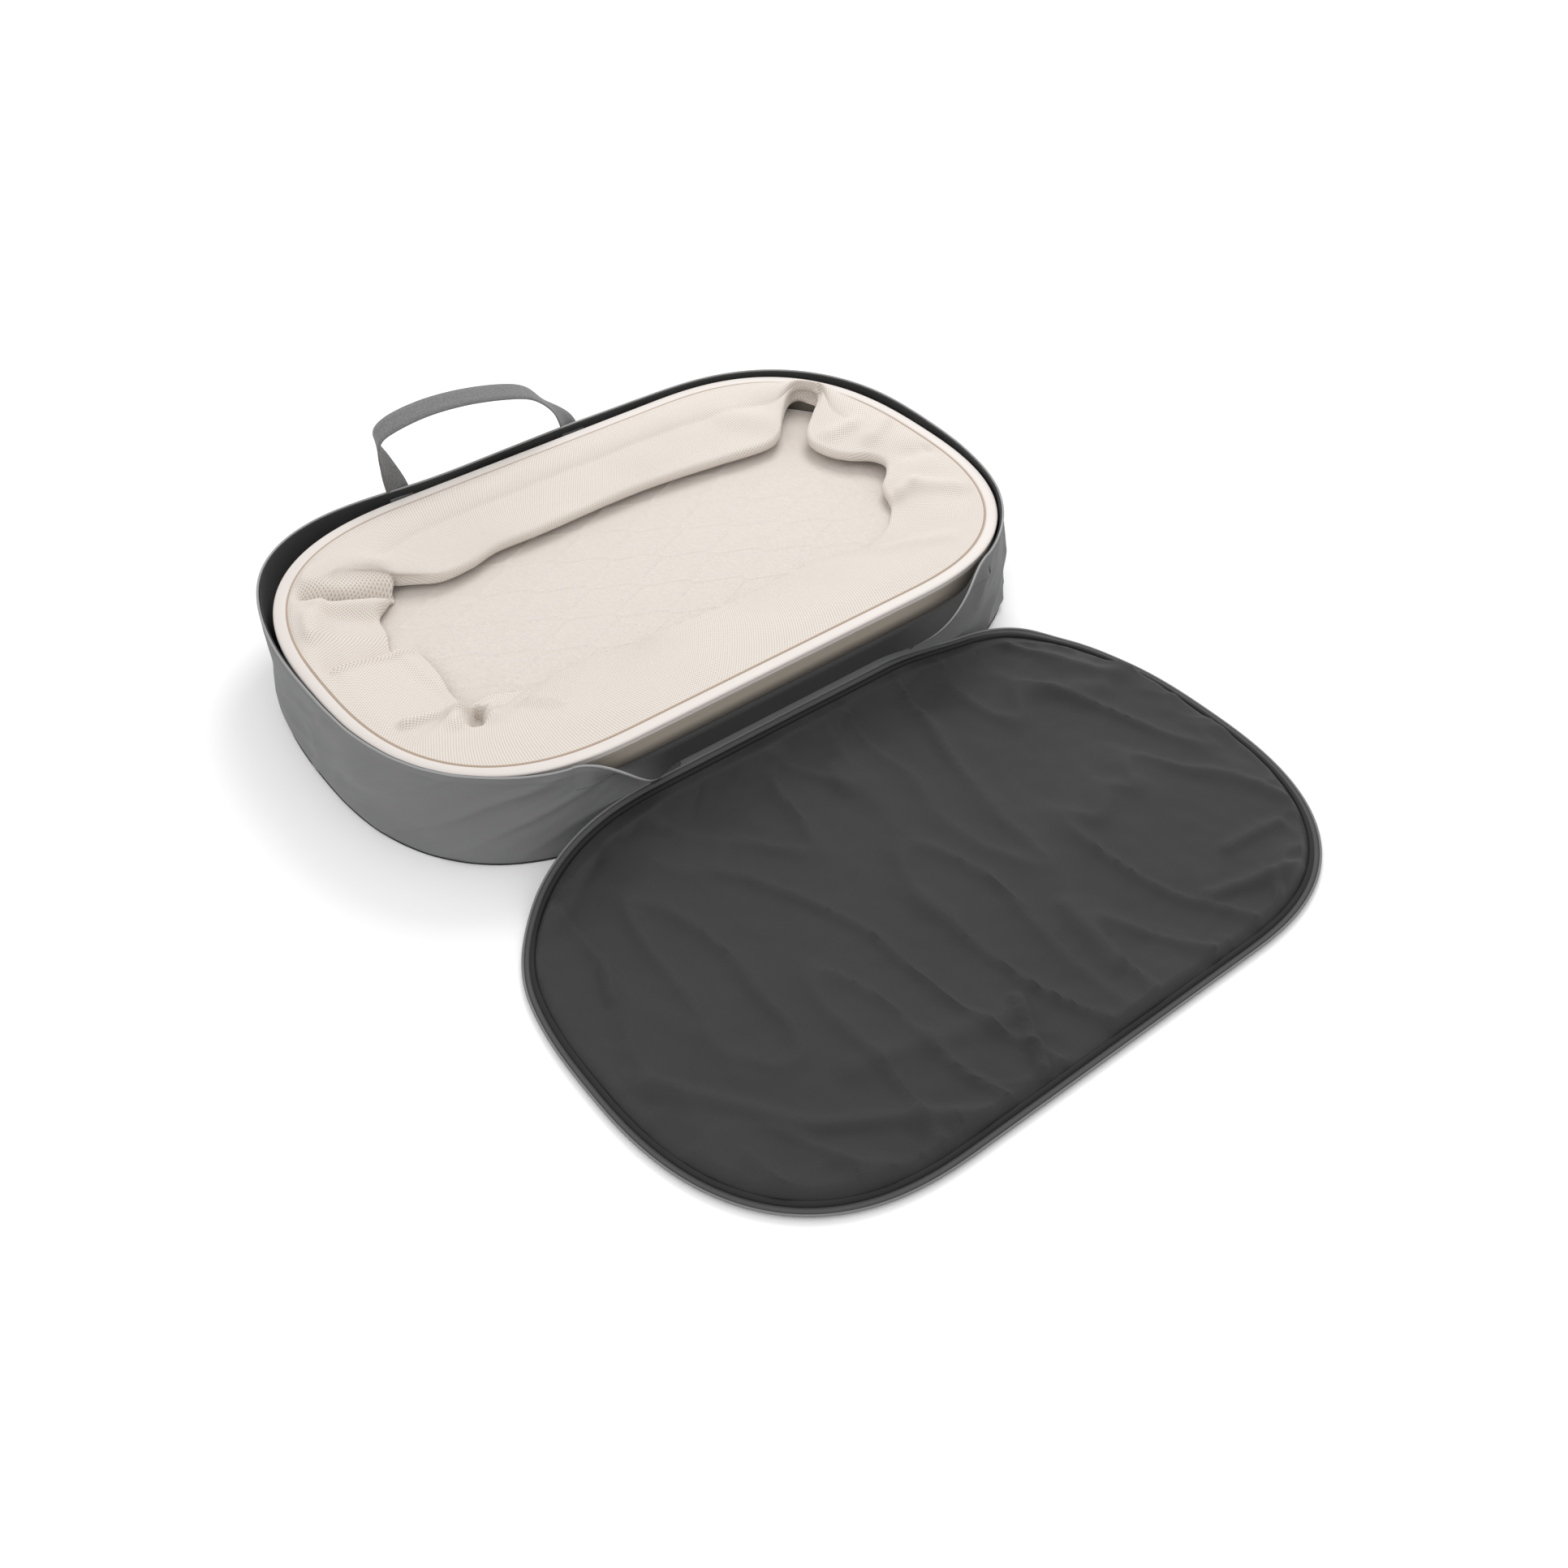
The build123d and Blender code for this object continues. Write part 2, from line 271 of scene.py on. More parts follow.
class Finish:
    def __init__(self, name, fixed):
        self.material = bpy.data.materials.new(name)
        self.material.use_nodes = True
        self.tree = self.material.node_tree
        self.shader = self.tree.nodes["Principled BSDF"]
        for socket, value in fixed.items():
            self.shader.inputs[socket].default_value = value

    def node(self, kind, settings=None, sockets=None, output=0):
        made = self.tree.nodes.new("ShaderNode" + kind)
        for name, value in (settings or {}).items():
            setattr(made, name, value)
        for name, value in (sockets or {}).items():
            self.feed(made.inputs[name], value)
        return Field(self.tree, made.outputs[output])

    def feed(self, socket, value):
        if isinstance(value, Field):
            self.tree.links.new(value.socket, socket)
        else:
            socket.default_value = value

    def place(self):
        return self.node("TexCoord", output=3)

    def cloth(self):  # lengths along and across the cloth
        spot = self.node("UVMap", {"uv_map": "cloth"})
        return [self.node("SeparateXYZ", None, {0: spot}, k) for k in (0, 1)]

    def noise(self, scale, detail=3.0):
        return self.node("TexNoise", None, {"Vector": self.place(), "Scale": scale, "Detail": detail})

    def blend(self, share, first, second):
        return self.node("Mix", {"data_type": "RGBA"}, {0: share, 6: first, 7: second}, 2)

    def surface(self, colour, roughness, height=None, depth=0.001, strength=1.0):
        self.feed(self.shader.inputs["Base Color"], colour)
        self.feed(self.shader.inputs["Roughness"], roughness)
        if height is not None:
            bump = self.node("Bump", None, {"Height": height, "Distance": depth, "Strength": strength})
            self.feed(self.shader.inputs["Normal"], bump)
        return self.material


def shade(level, tint=(1.0, 1.0, 1.0)):
    return (level * tint[0], level * tint[1], level * tint[2], 1.0)


def weave(finish, pitch):  # a plain weave: threads over and under each other
    along, across = finish.cloth()
    warp = (along * (2 * math.pi / pitch)).maths("SINE")
    weft = (across * (2 * math.pi / pitch)).maths("SINE")
    return 0.5 + 0.5 * (warp * weft)


fabricLooks = {
    "bag": {"light": 0.185, "dark": 0.125, "pitch": 0.0011, "tint": (0.99, 1.0, 1.01)},
    "lining": {"light": 0.042, "dark": 0.019, "pitch": 0.0009, "tint": (1.0, 1.0, 1.0)},
    "piping": {"light": 0.016, "dark": 0.010, "pitch": 0.0012, "tint": (1.0, 1.0, 1.0)},
    "tape": {"light": 0.190, "dark": 0.135, "pitch": 0.0014, "tint": (1.0, 1.0, 1.0)},
    # a darker copy of the zip tape: painted shade for the tape along the lid's edge and on the folded strip
    "lidTape": {"light": 0.095, "dark": 0.060, "pitch": 0.0014, "tint": (1.0, 1.0, 1.0)},
    "webbing": {"light": 0.215, "dark": 0.100, "pitch": 0.0020, "tint": (1.0, 1.0, 1.0)},
    "foam": {"light": 0.760, "dark": 0.680, "pitch": 0.0020, "tint": (1.0, 0.99, 0.95)},
}


def wovenFinish(name, sheen=0.0):
    look = fabricLooks[name]
    made = Finish(name + "_cloth", {"Sheen Weight": sheen, "Sheen Roughness": 0.4,
                                    "Specular IOR Level": 0.35})
    threads = weave(made, look["pitch"])
    patches = made.noise(14.0, 4.0)
    slubs = made.noise(900.0, 2.0)
    tone = made.blend(0.35 * threads + 0.4 * slubs + 0.25 * patches,
                      shade(look["dark"], look["tint"]), shade(look["light"], look["tint"]))
    return made.surface(tone, 0.62 + 0.2 * patches, threads + 0.4 * slubs, 0.0003, 0.55)


def heatherFinish():  # grey webbing with lighter and darker yarns
    look = fabricLooks["webbing"]
    made = Finish("webbing_cloth", {"Sheen Weight": 0.25, "Specular IOR Level": 0.3})
    along, across = made.cloth()
    ribPitch = 0.0016
    ribs = 0.5 + 0.5 * (along * (2 * math.pi / ribPitch) + 6.0 * across / look["pitch"]).maths("SINE")
    yarns = made.noise(420.0, 3.0)
    mix = (0.25 * ribs + 1.5 * (yarns - 0.27)).maths("MINIMUM", 1.0).maths("MAXIMUM", 0.0)
    tone = made.blend(mix, shade(look["dark"]), shade(look["light"]))
    return made.surface(tone, 0.8, ribs + 0.5 * yarns, 0.0005, 0.6)


def knitFinish():  # beige spacer mesh with staggered open cells, their insides painted dark as shade
    made = Finish("spacer_mesh", {"Sheen Weight": 0.2, "Sheen Roughness": 0.5, "Specular IOR Level": 0.3})
    along, across = made.cloth()
    pitch, tall = 0.0036, 1.3  # a cell's width, and its height as a share of that
    columns = (along * (2 * math.pi / pitch)).maths("COSINE")
    cells = columns * (across * (2 * math.pi / (pitch * tall))).maths("COSINE")
    ribs = (along * (4 * math.pi / pitch)).maths("COSINE")
    yarns = made.noise(700.0, 2.0)
    cellDepthAndShade = (cells - 0.15).maths("MAXIMUM", 0.0) * 1.1
    # the open cells are painted dark brown: painted shade in their depths; the same mask also sinks them in the
    # bump
    tone = made.blend(cellDepthAndShade * 0.95, (0.690, 0.630, 0.575, 1.0), (0.300, 0.250, 0.205, 1.0))
    tone = made.blend(0.12 * yarns + 0.05 * ribs, tone, (0.82, 0.765, 0.715, 1.0))
    return made.surface(tone, 0.85, 0.6 - 0.6 * cellDepthAndShade + 0.15 * ribs, 0.0008, 0.7)


def mattressFinish():  # fine jersey with faint crosswise lines
    made = Finish("mattress_jersey", {"Sheen Weight": 0.3, "Sheen Roughness": 0.5,
                                      "Specular IOR Level": 0.25})
    along, across = made.cloth()
    pitch = 0.0021
    rows = 0.5 + 0.5 * (across * (2 * math.pi / pitch) + 1.6 * made.noise(30.0, 2.0)).maths("SINE")
    broken = made.noise(260.0, 3.0)
    darker = 0.4 * rows * broken + 0.2 * broken
    tone = made.blend(darker, (0.665, 0.610, 0.560, 1.0), (0.585, 0.525, 0.470, 1.0))
    return made.surface(tone, 0.82, rows * broken, 0.0009, 0.7)


def mouldedFinish(name, colour, roughness, grain=400.0, depth=0.0002, fixed=None):
    made = Finish(name, fixed or {})
    fine, broad = made.noise(grain, 3.0), made.noise(9.0, 3.0)
    worn = tuple(min(1.0, c * 0.86) for c in colour[:3]) + (1.0,)
    tone = made.blend(0.35 * fine + 0.4 * broad, colour, worn)
    return made.surface(tone, roughness + 0.12 * broad, fine, depth, 0.4)


finishes = {
    "bag_fabric": wovenFinish("bag", 0.1),
    "bag_lining": wovenFinish("lining", 0.05),
    "piping": wovenFinish("piping"),
    "zip_tape": wovenFinish("tape"),
    "foam": wovenFinish("foam"),
    "webbing": heatherFinish(),
    "mesh": knitFinish(),
    "mattress": mattressFinish(),
    # the darker tape below is the zip tape with painted shade
    "lid_tape": wovenFinish("lidTape"),
    # a darker copy of the zip coil: painted shade for the coil along the lid's edge and on the folded strip
    "lid_coil": mouldedFinish("lid_coil", shade(0.17), 0.4, 900.0),
    "board": mouldedFinish("dark_board", shade(0.09), 0.55),
    "zip_coil": mouldedFinish("nylon_coil", shade(0.30), 0.32, 900.0),
    "zip_metal": mouldedFinish("zip_metal", shade(0.78), 0.22, 700.0, 0.0001, {"Metallic": 1.0}),
    "shell": mouldedFinish("taupe_shell", (0.420, 0.370, 0.315, 1.0), 0.38, 1200.0),
    "feet": mouldedFinish("dark_rubber", shade(0.05), 0.75, 500.0),
    "rim_plastic": mouldedFinish("satin_rim", (0.690, 0.640, 0.605, 1.0), 0.45, 900.0),
    "rim_metal": mouldedFinish("drawn_tube", shade(0.66), 0.3, 300.0, 0.0001, {"Metallic": 1.0}),
    "cord": mouldedFinish("brown_cord", (0.46, 0.355, 0.265, 1.0), 0.8, 1500.0, 0.0004),
}
slotOf = {part["node"]: part["material_slot"] for part in frame["record"]["subparts"]}
for node, made in frame["nodes"].items():
    made.data.materials.clear()
    made.data.materials.append(finishes[slotOf[node]])
print("finishes ready")


# Gives a piece its finish and its body, and hides the plain solids that it stands for; a piece that lies between
# two bodies gets no body, only its place baked in.
def dress(made, slot, *nodes, on=None, between=None):
    made.data.materials.clear()
    made.data.materials.append(finishes[slot])
    if nodes:
        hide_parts(*nodes)
    if between:
        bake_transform(made)
    else:
        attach(made, on)
    return made


# Bag wall: a ring of cloth whose front edge turns over outward.
wall = {
    "offset": 0.0073,             # the wall's middle stands this far outside the rim
    "lean": 0.0065,               # how far the foot stands out
    "slack": 0.0050,              # height of the soft lumps
    "creases": 0.0072,            # height of the creases
    # broad bulges: place, height and spread
    "bulges": [(-0.345, 0.235, 0.018, 0.10), (-0.26, 0.270, 0.008, 0.10), (0.42, 0.10, 0.005, 0.12),
               (0.05, 0.27, 0.004, 0.12), (-0.42, -0.08, -0.0042, 0.20), (0.40, -0.16, -0.002, 0.12)],
    "leftTurn": (-0.272, -0.155),  # x where the edge begins to turn over, and where it lies right over
    "rightTurn": (0.302, 0.115),
    "foldLength": 0.0075,         # cloth used up by the bend at the crease
    "sag": 0.045,                 # how much lower the open front corners hang, as a share
}


def wallPoints(turn, z, depth=0.0):
    x, y, outX, outY = around(turn)
    high = np.zeros(len(x)) + z
    t = np.clip(high / wallTop, 0, 1)
    out = wall["offset"] + wall["lean"] * (1 - t) ** 1.3 + depth
    for cx, cy, size, spread in wall["bulges"]:
        out = out + size * np.exp(-(((x - cx) ** 2 + (y - cy) ** 2) / spread ** 2)) * t ** 1.3
    spots = np.column_stack([x, y, high * 1.6])
    slant = np.column_stack([x - 1.5 * high, y + 1.2 * high, high * 0.4])
    front = smooth((0.20 - y) / 0.3)  # the back wall is tight and has no creases
    strip = smooth((x + 0.27) / 0.07) * smooth((0.29 - x) / 0.08) * smooth((-0.20 - y) / 0.03)
    calm = smooth(t * 9) * smooth((1 - t) * 4 + 0.2) * (1 - strip)
    out = out + calm * wall["slack"] * (lumps(spots, 0.085, 3.1) + 0.35)
    out = out + calm * front * wall["creases"] * (ridges(slant, 0.085, 1.7, 0.08) - 0.08)
    out = out + calm * front * 0.30 * wall["creases"] * ridges(slant, 0.055, 5.2, 0.08)
    sag = wall["sag"] * smooth((x + 0.37) / 0.09) * smooth((0.39 - x) / 0.08) * smooth((-0.12 - y) / 0.06)
    return np.column_stack([x + out * outX, y + out * outY, high * (1 - sag * smooth(t * 2 - 1))])


# The cloth above the crease, turned outward by a share of a half turn.
def foldedOver(turn, heights, share, depth):
    foot, edge = wallPoints(turn, creaseZ, 0.0), wallPoints(turn, wallTop, 0.0)
    outX, outY = around(turn)[2:]
    fine = np.linspace(0, wallTop - creaseZ, 60)
    step = fine[1] - fine[0]
    angle = math.pi * share[None, :] * smooth(fine / wall["foldLength"])[:, None]
    out = np.cumsum(np.sin(angle), axis=0) * step
    up = np.cumsum(np.cos(angle), axis=0) * step
    toEdge = edge - foot
    lean = np.hypot(toEdge[:, 0], toEdge[:, 1]) * np.sign(toEdge[:, 0] * outX + toEdge[:, 1] * outY)
    rows = []
    for z in heights:
        along = z - creaseZ
        upright = (along / fine[-1]) * (1 - share)
        here = [np.array([np.interp(along, fine, line) for line in field.T]) for field in (out, up, angle)]
        shift = here[0] + depth * np.cos(here[2]) + lean * upright
        rise = here[1] - depth * np.sin(here[2]) + max(0.0, along - fine[-1])
        rise = rise - (fine[-1] - toEdge[:, 2]) * upright
        rows.append(foot + np.column_stack([shift * outX, shift * outY, rise]))
    return rows


def wallRegion(region, heights, depth, pitch=0.0030):  # rows of points, and each point's place on the cloth
    leftEnd, leftFold, rightEnd, rightFold = [frontTurn(x) for x in wall["leftTurn"] + wall["rightTurn"]]
    spans = {"main": (rightEnd, 1 + leftEnd), "front": (leftEnd, rightEnd), "left": (leftEnd, leftFold),
             "strip": (leftFold, rightFold), "right": (rightFold, rightEnd)}
    start, end = spans[region]
    turn = np.linspace(start, end, max(8, int((end - start) * rimLength / pitch)))
    cloth = [(t * rimLength, z) for z in heights for t in turn]
    if region in ("main", "front"):
        return [wallPoints(turn, z, depth) for z in heights], cloth
    a, b = wall["leftTurn"] if region == "left" else wall["rightTurn"]
    share = np.ones(len(turn)) if region == "strip" else smooth((around(turn)[0] - a) / (b - a))
    return foldedOver(turn, heights, share, depth), cloth


def ridesWith(region):
    if region in ("main", "front"):
        return {"on": "bag"}
    if region == "strip":
        return {"on": "fold_strip"}
    a, b = wall["leftTurn"] if region == "left" else wall["rightTurn"]
    return {"between": ("bag", "fold_strip", (a, 0, creaseZ), (b, 0, creaseZ))}


wallLayers = {  # lowest point, depth from the wall's middle, thickness, finish and nodes
    "fabric": (0.002, 0.0007, 0.0011, "bag_fabric", "wall_fabric", "strip_fabric"),
    "lining": (0.006, -0.0019, 0.0010, "bag_lining", "wall_lining", "strip_lining"),
    "tape": (wallTop - 0.007, 0.0017, 0.0008, "zip_tape", "wall_zip_tape", None),
}


def wallPiece(layer, region):
    low, depth, thickness, slot, node, stripNode = wallLayers[layer]
    bottom = low if region in ("main", "front") else max(low, creaseZ)
    top = creaseZ if region == "front" else wallTop
    count = 4 if layer == "tape" else 36 if region == "main" else 24
    rows, places = wallRegion(region, np.linspace(bottom, top, count), depth)
    piece = thicken(grid(f"{region}_wall_{layer}", rows, cloth=places), thickness)
    covered = {"main": node, "front": node, "strip": stripNode}.get(region)
    # the strip's zip tape takes the darker copy of the tape, painted shade
    finish = "lid_tape" if (layer, region) == ("tape", "strip") else slot
    dress(piece, finish, *([covered] if covered else []), **ridesWith(region))
    if layer != "tape":
        top - bottom


for layer in wallLayers:
    for region in ("main", "front", "left", "strip", "right"):
        if region != "front" or layer != "tape":  # the front below the crease has no zip
            wallPiece(layer, region)
coilRise = 0.0006  # the coil stands just over the tape's edge
for region in ("main", "left", "strip", "right"):
    path = wallRegion(region, [wallTop + coilRise], coilRise)[0][0]
    covered = ["wall_zip_coil"] if region == "main" else []
    # the strip's coil takes the darker copy of the coil, painted shade
    finish = "lid_coil" if region == "strip" else "zip_coil"
    dress(coilAlong(f"{region}_edge_coil", path), finish, *covered, **ridesWith(region))
footPiping = {"radius": 0.0012, "height": 0.0014, "out": 0.0010}
foot = wallPoints(allRound(420), 0.002, footPiping["out"])
foot[:, 2] = footPiping["height"]
dress(sweep("foot_piping", foot, footPiping["radius"], 8, loop=True), "piping", "bottom_piping", on="bag")
print("bag wall done")


# Lid: one cloth from the seam on the folded strip, down to the ground and across it.
lid = {
    # how far each ring lies outside the rim's line
    "lining": -0.0115, "piping": -0.0085, "tape": (-0.0075, 0.0010), "coil": 0.0017, "seam": 0.007,
    "length": 0.62,               # longer than the cloth from the seam to the far edge
    "bend": 0.030,                # half the length over which it bends down to the ground
    "thickness": 0.0008,
    "stretch": 0.980,             # the opened lid draws in along its length
    "shift": -0.014,              # and lies a little to the left
    "padding": 0.0052,            # between the lining and the outer cloth
    "pucker": 0.0070,             # creases beside the edge
    "billow": 0.0090,             # soft lumps over the middle
    "crinkle": 0.0014,            # small unevenness all over
    "droop": (0.001, 0.019),      # how much lower the slope lies towards the right, and past its corner
    "foldShare": 1.8,             # of the heights below
    "folds": [
        {"from": (-0.40, -0.56), "to": (-0.305, -0.69), "width": 0.010, "height": 0.0055},
        {"from": (-0.305, -0.69), "to": (-0.16, -0.785), "width": 0.010, "height": 0.0050},
        {"from": (-0.244, -0.667), "to": (-0.063, -0.714), "width": 0.016, "height": 0.0040},
        {"from": (-0.056, -0.695), "to": (-0.100, -0.780), "width": 0.007, "height": 0.0060},
        {"from": (-0.350, -0.430), "to": (-0.368, -0.470), "width": 0.006, "height": 0.0050},
        {"from": (-0.360, -0.360), "to": (-0.280, -0.300), "width": 0.012, "height": 0.0045},
        {"from": (0.180, -0.722), "to": (0.300, -0.762), "width": 0.009, "height": 0.0055},
        {"from": (0.246, -0.690), "to": (0.330, -0.700), "width": 0.008, "height": 0.0040},
        {"from": (0.059, -0.640), "to": (0.040, -0.737), "width": 0.012, "height": 0.0045},
        {"from": (0.002, -0.335), "to": (-0.012, -0.390), "width": 0.012, "height": 0.0030},
        {"from": (0.250, -0.380), "to": (0.340, -0.440), "width": 0.014, "height": 0.0035},
    ],
}
slope = math.radians(joints["lid_seam"]["range_deg"][1])
slopeRun = math.hypot(seamY - bendY, seamZ - lidTop)
halfWide = rimHigh[1]


def lidSection():  # the lid's path in side view, from the seam to its far edge
    step, bend = 0.0005, lid["bend"]
    run = np.arange(0, lid["length"], step)
    angle = slope * (1 - smooth((run - slopeRun + bend) / (2 * bend)))
    y = -np.cumsum(np.cos(angle)) * step
    z = -np.cumsum(np.sin(angle)) * step
    flat = int((slopeRun + bend) / step)
    return run, y + (bendY - bend) - y[flat], z + lidTop - z[-1], angle


lidRun, lidY, lidZ, lidAngle = lidSection()


def lidPoints(x, y, height=0.0, follow=1.0):  # x and y are places on the shut lid
    run = y + halfWide + lid["seam"]
    angle = np.interp(run, lidRun, lidAngle)
    px = x * lid["stretch"] + lid["shift"] * smooth(run / 0.16)
    py, pz = np.interp(run, lidRun, lidY), np.interp(run, lidRun, lidZ)
    endShare = np.clip(abs(x) - rim["straight"], 0, None) / (rimHigh[0] - rim["straight"])
    edge = 1 - endShare ** rim["squareness"] - (abs(y) / halfWide) ** rim["squareness"]
    inside = np.clip(edge, 0, 1)  # 0 at the edge, 1 in the middle
    spots = np.column_stack([px, py, 0 * px])
    pucker = np.exp(-inside / 0.24) * (ridges(spots, 0.050, 8.0) + 0.6 * lumps(spots, 0.034, 2.0) + 0.4)
    drawn = np.column_stack([1.25 * px + 0.2 * py, 0.45 * py, 0 * px])
    billow = smooth(inside * 5) * (0.8 * lumps(spots, 0.13, 5.0) + ridges(drawn, 0.085, 4.0) + 0.4)
    crinkle = lid["crinkle"] * (lumps(spots, 0.021, 9.0) + 0.5)
    folds = lid["foldShare"] * pleats(px, py, lid["folds"])
    lift = crinkle + lid["pucker"] * pucker + lid["billow"] * billow + folds
    lift = lift.clip(0) * smooth(run / 0.03) * smooth((inside - 0.085) / 0.11) * follow + height
    first, second = lid["droop"]
    droop = first * smooth(px / 0.1) + second * smooth((px - 0.13) / 0.12)
    pz = pz - droop * np.clip((pz - lidTop) / (seamZ - lidTop), 0, 1)
    return np.column_stack([px, py - lift * np.sin(angle), pz + lift * np.cos(angle)])


# One layer of the lid: follow is how much of the lining's creases it has.
def lidGrid(name, offset, height, follow, rows, columns):
    table = ringPoints(np.linspace(0.0, 0.5, 900), offset, 0)
    table = table[table[:, 0] > rim["straight"] - 0.001]
    order = np.argsort(table[:, 1])
    y = -(halfWide + offset) * np.cos(np.linspace(0.02, math.pi - 0.02, rows))
    reach = np.interp(y, table[order, 1], table[order, 0])
    even = np.linspace(-1, 1, columns)
    across = 0.35 * np.sin(even * math.pi / 2) + 0.65 * even  # closer steps towards the ends
    made = [lidPoints(r * across, np.zeros(columns) + v, height, follow) for r, v in zip(reach, y)]
    cloth = [(r * a, v) for r, v in zip(reach, y) for a in across]
    return thicken(grid(name, made, cloth=cloth), lid["thickness"])


overBend = ("lid_apron", "lid", (0, bendY + lid["bend"], lidTop), (0, bendY - lid["bend"], lidTop))
liningPiece = lidGrid("lid_lining_cloth", lid["lining"], 0.0, 1.0, 130, 170)
dress(liningPiece, "bag_lining", "lid_lining", "apron_lining", "lid_padding", "apron_padding",
      between=overBend)
outerPiece = lidGrid("lid_outer_cloth", lid["lining"] + 0.004, -lid["padding"], 0.0, 60, 90)
dress(outerPiece, "bag_fabric", "lid_outer_panel", "apron_outer_panel", between=overBend)


def lidRing(offset, height, turn):
    points = ringPoints(turn, offset, 0)
    return lidPoints(points[:, 0], points[:, 1], height)


turn = allRound(700)
tapeLow, tapeHigh = lid["tape"]
section = [(tapeLow, 0.0004), (tapeHigh, -0.0008), (tapeHigh, -0.0020), (tapeLow, -0.0030)]
tapeRows = [lidRing(offset, height, turn) for offset, height in section]
tapeCloth = [(t * rimLength, offset) for t in turn for offset, height in section]
tapePiece = grid("lid_zip_border", np.transpose(tapeRows, (1, 0, 2)), loop=True, tube=True, cloth=tapeCloth)
# the lid's zip border takes the darker copy of the tape, painted shade
dress(outward(tapePiece), "lid_tape", "lid_zip_tape", "apron_zip_tape", "hinge_tape", between=overBend)
pipingPiece = sweep("lid_piping_ring", lidRing(lid["piping"], 0.0006, turn), 0.0031, 10, loop=True)
dress(pipingPiece, "piping", "lid_piping", "apron_piping", between=overBend)
coilPiece = coilAlong("lid_edge_coil", lidRing(lid["coil"], -0.0010, turn), loop=True)
# the lid's coil takes the darker copy of the coil, painted shade
dress(coilPiece, "lid_coil", "lid_zip_coil", "apron_zip_coil", between=overBend)
liningSize = [2 * (rimHigh[k] + lid["lining"]) for k in (0, 1)]
roundEnds = 0.94  # share of that length and width which the outline fills
liningArea = roundEnds * liningSize[0] * liningSize[1]
print("lid done")


# Rim: rolled satin trim and a fine cord inside it.
rimLook = {"width": 0.0140, "roll": 0.0022, "cord": 0.0012}  # trim's width and half its height, cord's radius
turn = allRound(420)
trimRows = []
for angle in 2 * math.pi * allRound(20):
    wide, tall = rimLook["width"] / 2, rimLook["roll"]
    offset = -wide + (wide + 0.0004) * rounded(math.cos(angle), 0.55)
    high = rimHigh[2] - tall + 1.12 * tall * rounded(math.sin(angle), 0.8)
    trimRows.append(ringPoints(turn, offset, high))
trim = outward(grid("rim_roll", np.transpose(trimRows, (1, 0, 2)), loop=True, tube=True))
dress(trim, "rim_plastic", "rim_trim", on="rim")
cordOffset = -rimLook["width"] - 0.9 * rimLook["cord"]
cordPath = ringPoints(allRound(700), cordOffset, rimHigh[2] - rimLook["cord"])
dress(sweep("rim_cord", cordPath, rimLook["cord"], 8, loop=True, wave=0.08), "cord", "mesh_cord", on="rim")
print("rim done")


